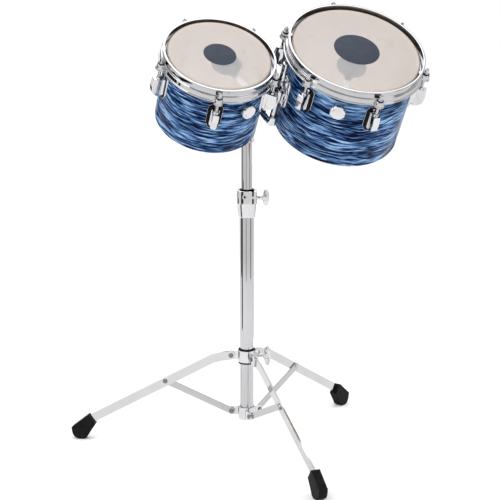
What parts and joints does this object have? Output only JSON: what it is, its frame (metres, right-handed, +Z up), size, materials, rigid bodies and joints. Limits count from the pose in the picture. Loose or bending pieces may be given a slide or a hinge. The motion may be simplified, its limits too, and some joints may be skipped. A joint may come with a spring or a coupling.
{
  "type": "concert tom pair on stand",
  "caption": "Pair of single-headed drums with a blue ripple wrap and chrome hoops, side by side and tilted towards the player on one telescopic folding tripod stand.",
  "frame": {"origin": "on the floor, under the middle of the whole object's bounding box", "axes": "+Z up, -Y towards the player, +X to the right as the player faces the drums"},
  "size_m": [0.7256, 0.6522, 0.9213],
  "materials": {
    "chrome": "mirror plating",
    "foot_rubber": "satin moulded",
    "bush_nylon": "satin",
    "black_screw": "black oxide",
    "shell_ply": "clear lacquer",
    "blue_ripple": "gloss film with a rippled pearl figure",
    "drumhead_film": "thin polyester film, lightly hazed",
    "centre_dot": "matt film patch",
    "felt": "pressed felt",
    "plated_steel": "plated"
  },
  "bodies": {
    "stand": {"lower_tube": "chrome", "stay_collar": "chrome", "stay_pins": "chrome", "height_clamp": "chrome", "clamp_bush": "bush_nylon", "clamp_screw": "black_screw"},
    "leg_collar": {"leg_collar": "chrome", "collar_bush": "bush_nylon", "leg_pins": "chrome"},
    "collar_wing_bolt": {"collar_wing_bolt": "chrome"},
    "height_wing_bolt": {"height_wing_bolt": "chrome"},
    "upper_tube": {"upper_tube": "chrome"},
    "holder_base": {"holder_base": "chrome"},
    "carrier": {"carrier": "chrome", "rod_8": "chrome", "rod_10": "chrome"},
    "tilt_wing_bolt": {"tilt_wing_bolt": "chrome"},
    "leg_1": {"leg_1": "chrome", "leg_fork_1": "chrome", "knee_rivet_1": "chrome", "foot_1": "foot_rubber"},
    "stay_1": {"stay_1": "chrome"},
    "leg_2": {"leg_2": "chrome", "leg_fork_2": "chrome", "knee_rivet_2": "chrome", "foot_2": "foot_rubber"},
    "stay_2": {"stay_2": "chrome"},
    "leg_3": {"leg_3": "chrome", "leg_fork_3": "chrome", "knee_rivet_3": "chrome", "foot_3": "foot_rubber"},
    "stay_3": {"stay_3": "chrome"},
    "drum_8": {"shell_8": "shell_ply", "wrap_8": "blue_ripple", "head_8": "drumhead_film", "flesh_hoop_8": "plated_steel", "dot_8": "centre_dot", "hoop_8": "chrome", "lugs_8": "chrome", "shell_screws_8": "plated_steel", "tension_rods_8": "chrome", "bracket_8": "chrome"},
    "knob_8": {"knob_8": "chrome"},
    "damper_8": {"damper_arm_8": "plated_steel", "damper_pad_8": "felt"},
    "bracket_wing_bolt_8": {"bracket_wing_bolt_8": "chrome"},
    "drum_10": {"shell_10": "shell_ply", "wrap_10": "blue_ripple", "head_10": "drumhead_film", "flesh_hoop_10": "plated_steel", "dot_10": "centre_dot", "hoop_10": "chrome", "lugs_10": "chrome", "shell_screws_10": "plated_steel", "tension_rods_10": "chrome", "bracket_10": "chrome"},
    "knob_10": {"knob_10": "chrome"},
    "damper_10": {"damper_arm_10": "plated_steel", "damper_pad_10": "felt"},
    "bracket_wing_bolt_10": {"bracket_wing_bolt_10": "chrome"}
  },
  "joints": [
    {"name": "leg_fold", "type": "slide", "parent": "stand", "child": "leg_collar", "axis": [0, 0, 1], "range_m": [0, 0.1809]},
    {"name": "collar_bolt_turn", "type": "hinge", "parent": "leg_collar", "child": "collar_wing_bolt", "pos_m": [0.04354, 0.02181, 0.1925], "axis": [1, 0, 0], "continuous": true},
    {"name": "leg_1_swing", "type": "hinge", "parent": "leg_collar", "child": "leg_1", "pos_m": [-0.02282, 0.02579, 0.1925], "axis": [-0.1219, -0.9925, 0], "range_deg": [0, 60]},
    {"name": "stay_1_swing", "type": "hinge", "parent": "stand", "child": "stay_1", "pos_m": [-0.02282, 0.02579, 0.0705], "axis": [0.1219, 0.9925, 0], "range_deg": [0, 60]},
    {"name": "leg_2_swing", "type": "hinge", "parent": "leg_collar", "child": "leg_2", "pos_m": [0.02916, 0.04785, 0.1925], "axis": [-0.7986, 0.6018, 0], "range_deg": [0, 60]},
    {"name": "stay_2_swing", "type": "hinge", "parent": "stand", "child": "stay_2", "pos_m": [0.02916, 0.04785, 0.0705], "axis": [0.7986, -0.6018, 0], "range_deg": [0, 60]},
    {"name": "leg_3_swing", "type": "hinge", "parent": "leg_collar", "child": "leg_3", "pos_m": [0.02228, -0.00819, 0.1925], "axis": [0.9205, 0.3907, 0], "range_deg": [0, 60]},
    {"name": "stay_3_swing", "type": "hinge", "parent": "stand", "child": "stay_3", "pos_m": [0.02228, -0.00819, 0.0705], "axis": [-0.9205, -0.3907, 0], "range_deg": [0, 60]},
    {"name": "height_bolt_turn", "type": "hinge", "parent": "stand", "child": "height_wing_bolt", "pos_m": [0.04054, 0.00281, 0.529], "axis": [1, 0, 0], "continuous": true},
    {"name": "height_slide", "type": "slide", "parent": "stand", "child": "upper_tube", "axis": [0, 0, 1], "range_m": [-0.09, 0.15]},
    {"name": "holder_swivel", "type": "hinge", "parent": "upper_tube", "child": "holder_base", "pos_m": [0.00954, 0.02181, 0.655], "axis": [0, 0, 1], "continuous": true},
    {"name": "drum_tilt", "type": "hinge", "parent": "holder_base", "child": "carrier", "pos_m": [0.00954, 0.02181, 0.69], "axis": [0.9447, 0.3279, 0], "range_deg": [-34, 25]},
    {"name": "tilt_bolt_turn", "type": "hinge", "parent": "holder_base", "child": "tilt_wing_bolt", "pos_m": [-0.00558, 0.01657, 0.69], "axis": [-0.9447, -0.3279, 0], "continuous": true},
    {"name": "drum_8_slide", "type": "slide", "parent": "carrier", "child": "drum_8", "axis": [0.1857, -0.5352, 0.8241], "range_m": [0, 0.03]},
    {"name": "knob_8_turn", "type": "hinge", "parent": "drum_8", "child": "knob_8", "pos_m": [0.01338, -0.18336, 0.72699], "axis": [0.593, -0.6077, -0.5283], "range_deg": [0, 270]},
    {"name": "damper_8_lift", "type": "slide", "parent": "drum_8", "child": "damper_8", "axis": [0.1857, -0.5352, 0.8241], "range_m": [0, 0.0022]},
    {"name": "bracket_bolt_8_turn", "type": "hinge", "parent": "drum_8", "child": "bracket_wing_bolt_8", "pos_m": [0.04506, -0.0511, 0.78876], "axis": [-0.3219, 0.7593, 0.5656], "continuous": true},
    {"name": "drum_10_slide", "type": "slide", "parent": "carrier", "child": "drum_10", "axis": [0.1857, -0.5352, 0.8241], "range_m": [0, 0.03]},
    {"name": "knob_10_turn", "type": "hinge", "parent": "drum_10", "child": "knob_10", "pos_m": [0.18171, -0.19006, 0.72645], "axis": [-0.224, -0.8396, -0.4948], "range_deg": [0, 270]},
    {"name": "damper_10_lift", "type": "slide", "parent": "drum_10", "child": "damper_10", "axis": [0.1857, -0.5352, 0.8241], "range_m": [0, 0.0022]},
    {"name": "bracket_bolt_10_turn", "type": "hinge", "parent": "drum_10", "child": "bracket_wing_bolt_10", "pos_m": [0.08154, -0.12614, 0.75656], "axis": [0.2844, -0.7735, -0.5664], "continuous": true}
  ],
  "couplings": [
    {"joint": "leg_1_swing", "follows": "leg_fold", "rad_per_m": 5.7885},
    {"joint": "stay_1_swing", "follows": "leg_fold", "rad_per_m": 5.7885},
    {"joint": "leg_2_swing", "follows": "leg_fold", "rad_per_m": 5.7885},
    {"joint": "stay_2_swing", "follows": "leg_fold", "rad_per_m": 5.7885},
    {"joint": "leg_3_swing", "follows": "leg_fold", "rad_per_m": 5.7885},
    {"joint": "stay_3_swing", "follows": "leg_fold", "rad_per_m": 5.7885},
    {"joint": "damper_8_lift", "follows": "knob_8_turn", "m_per_rad": 0.000466},
    {"joint": "damper_10_lift", "follows": "knob_10_turn", "m_per_rad": 0.000466}
  ]
}
